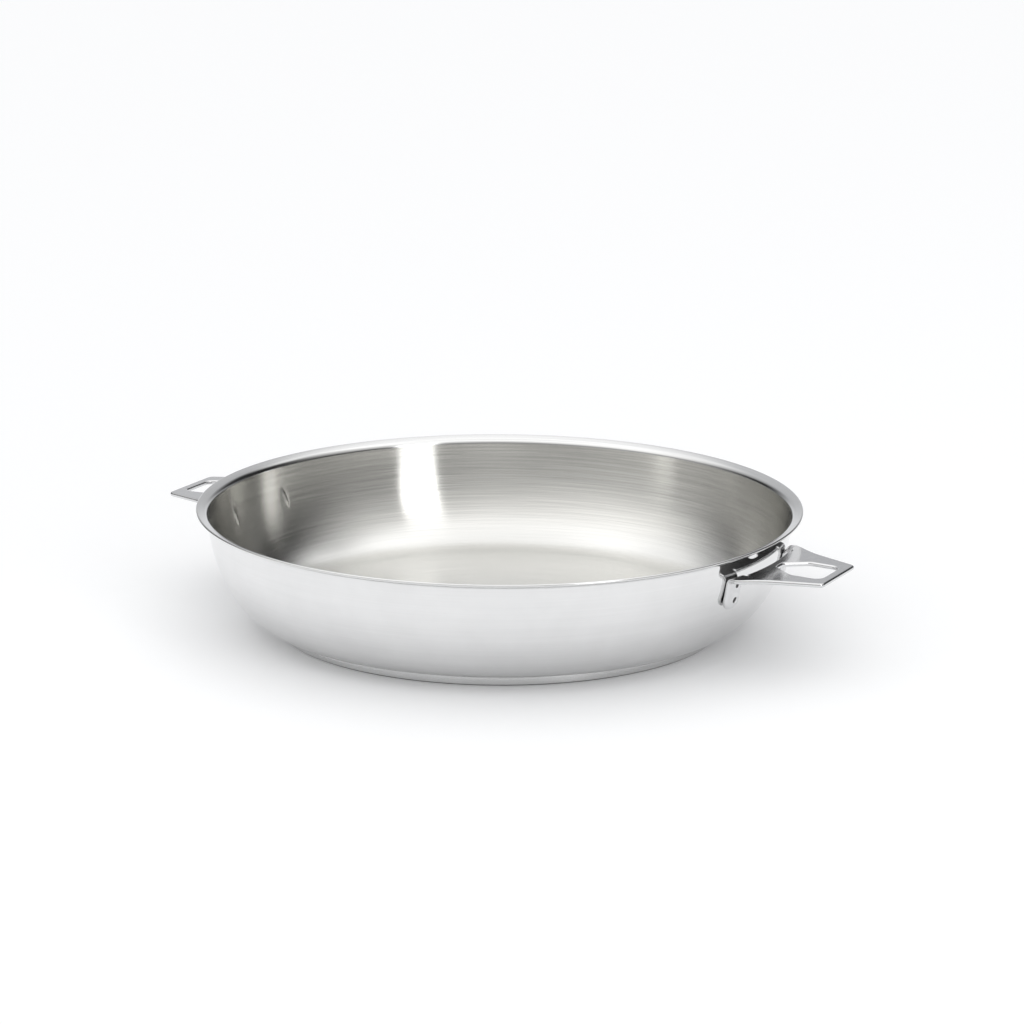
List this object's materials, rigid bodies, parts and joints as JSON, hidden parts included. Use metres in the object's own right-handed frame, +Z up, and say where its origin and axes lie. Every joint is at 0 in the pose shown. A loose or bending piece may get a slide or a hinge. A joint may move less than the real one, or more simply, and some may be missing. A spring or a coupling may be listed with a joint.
{
  "type": "frying pan",
  "caption": "Round stainless frying pan with a flared pouring lip, an encapsulated disc base and flat holed lugs at its sides where a handle or a hook goes in.",
  "frame": {"origin": "middle of the underside of the base, where the pan stands on the table", "axes": "+X through the middle of the right lug, +Z up out of the mouth of the pan"},
  "size_m": [0.34, 0.28, 0.056],
  "materials": {
    "shell": "mirror polished outside, fine circular brush lines inside",
    "core": "plain rolled",
    "cap": "satin, turned underneath",
    "bracket": "satin with bright rounded edges"
  },
  "bodies": {
    "root": {"pan_body": "shell", "base_core": "core", "base_cap": "cap", "bracket_right": "bracket", "bracket_left": "bracket"}
  },
  "joints": []
}
